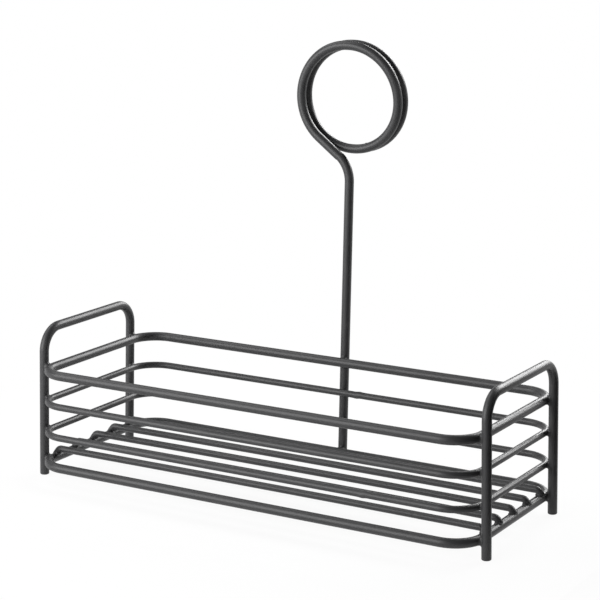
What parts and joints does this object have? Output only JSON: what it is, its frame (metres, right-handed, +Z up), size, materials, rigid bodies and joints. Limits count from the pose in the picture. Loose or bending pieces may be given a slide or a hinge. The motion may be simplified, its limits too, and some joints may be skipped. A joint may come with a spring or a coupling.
{
  "type": "sugar packet holder",
  "caption": "Free-standing welded wire rack with an open basket for sugar packets, raised end frames to lift it by, and a tall rear post whose two-turn ring grips a card.",
  "frame": {"origin": "middle of the rack's bounding box, on the table surface under its feet", "axes": "+X along the long side towards the right end, +Y towards the back where the card post stands, +Z up"},
  "size_m": [0.2434, 0.1134, 0.2118],
  "materials": {
    "powder_coat": "satin black powder coat over welded steel wire"
  },
  "bodies": {
    "root": {"left_end_frame": "powder_coat", "right_end_frame": "powder_coat", "top_rim": "powder_coat", "upper_rail": "powder_coat", "lower_rail": "powder_coat", "base_rail": "powder_coat", "floor_wire_1": "powder_coat", "floor_wire_2": "powder_coat", "floor_wire_3": "powder_coat", "floor_wire_4": "powder_coat", "floor_wire_5": "powder_coat", "card_post": "powder_coat"}
  },
  "joints": []
}
